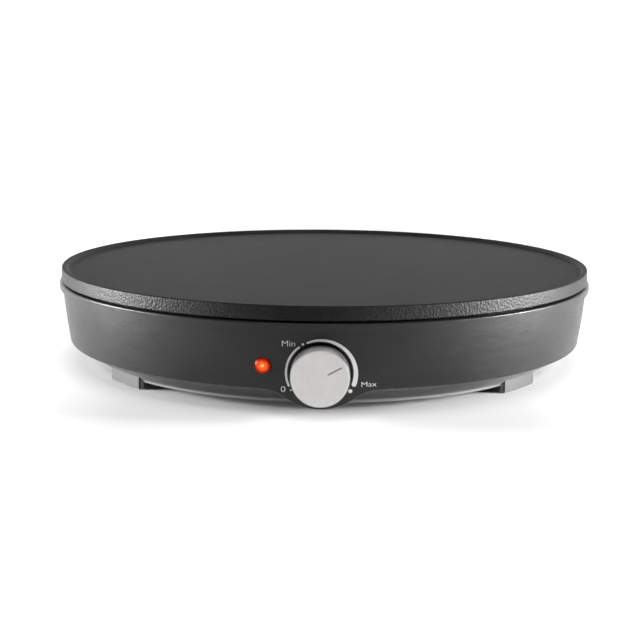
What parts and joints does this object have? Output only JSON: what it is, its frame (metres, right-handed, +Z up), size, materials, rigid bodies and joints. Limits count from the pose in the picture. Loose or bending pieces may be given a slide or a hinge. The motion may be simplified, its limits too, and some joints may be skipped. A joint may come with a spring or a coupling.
{
  "type": "electric crepe maker",
  "caption": "Electric crepe maker: a round rimmed griddle plate on a low moulded base, with a rotary thermostat knob and an indicator lamp at the front.",
  "frame": {"origin": "on the griddle plate's axis, at table level under the foot pads", "axes": "+Z up along the plate's axis; the knob faces -Y and the cord leaves along +Y; +X is to the right seen from the knob side"},
  "size_m": [0.3128, 0.327, 0.056],
  "materials": {
    "plate": "cast, black non-stick coating",
    "element_sheath": "heat-darkened sheath",
    "element_seal": "fired bead",
    "terminal_steel": "nickel plated",
    "clip_steel": "stamped sheet",
    "screw_steel": "zinc plated",
    "reflector_sheet": "pressed sheet",
    "insulating_washer": "pressed ring",
    "housing_plastic": "satin charcoal moulding",
    "tray_plastic": "satin black moulding",
    "pad_rubber": "soft pad",
    "knob_silver": "satin silver lacquer",
    "knob_black": "moulded",
    "spring_steel": "spring temper",
    "switch_body": "pressed body",
    "bracket_steel": "galvanised sheet",
    "copper_tube": "drawn copper",
    "lens_orange": "translucent",
    "lamp_glass": "clear",
    "gland_plastic": "nylon",
    "block_plastic": "moulded",
    "terminal_brass": "turned",
    "fuse_case": "drawn case",
    "sleeve_fibre": "glass-fibre braid",
    "lead_brown": "silicone insulation",
    "lead_blue": "silicone insulation",
    "lead_green": "silicone insulation",
    "lead_black": "silicone insulation",
    "lead_grey": "silicone insulation"
  },
  "bodies": {
    "cooker": {"griddle_plate": "plate", "heating_element": "element_sheath", "element_seals": "element_seal", "element_terminals": "terminal_steel", "element_clips": "clip_steel", "bulb_clip": "clip_steel", "fuse_clip": "clip_steel", "clip_screws": "screw_steel", "heat_reflector": "reflector_sheet", "reflector_screws": "screw_steel", "plate_washers": "insulating_washer", "plate_screws": "screw_steel", "housing": "housing_plastic", "base_tray": "tray_plastic", "tray_screws": "screw_steel", "thermostat_body": "switch_body", "thermostat_bracket": "bracket_steel", "thermostat_screws": "screw_steel", "thermostat_terminals": "terminal_steel", "thermostat_bulb": "copper_tube", "capillary_tube": "copper_tube", "lamp_lens": "lens_orange", "lamp_glass": "lamp_glass", "lamp_ring": "spring_steel", "cord_gland": "gland_plastic", "gland_nut": "gland_plastic", "terminal_block": "block_plastic", "terminal_barrels": "terminal_brass", "terminal_screws": "screw_steel", "block_screw": "screw_steel", "thermal_fuse": "fuse_case", "fuse_sleeve": "sleeve_fibre", "earth_lug": "terminal_brass", "earth_screw": "screw_steel", "foot_pad_front_left": "pad_rubber", "foot_pad_front_right": "pad_rubber", "foot_pad_back_right": "pad_rubber", "foot_pad_back_left": "pad_rubber", "lead_live": "lead_brown", "lead_neutral": "lead_blue", "lead_earth": "lead_green", "lead_heater": "lead_black", "lead_lamp_live": "lead_grey", "lead_lamp_neutral": "lead_grey"},
    "knob": {"knob_shell": "knob_silver", "knob_core": "knob_black", "knob_spring": "spring_steel", "thermostat_shaft": "terminal_steel"}
  },
  "joints": [
    {"name": "knob_turn", "type": "hinge", "parent": "cooker", "child": "knob", "pos_m": [0, -0.152, 0.0225], "axis": [0, 1, 0], "range_deg": [-176, 60]}
  ]
}
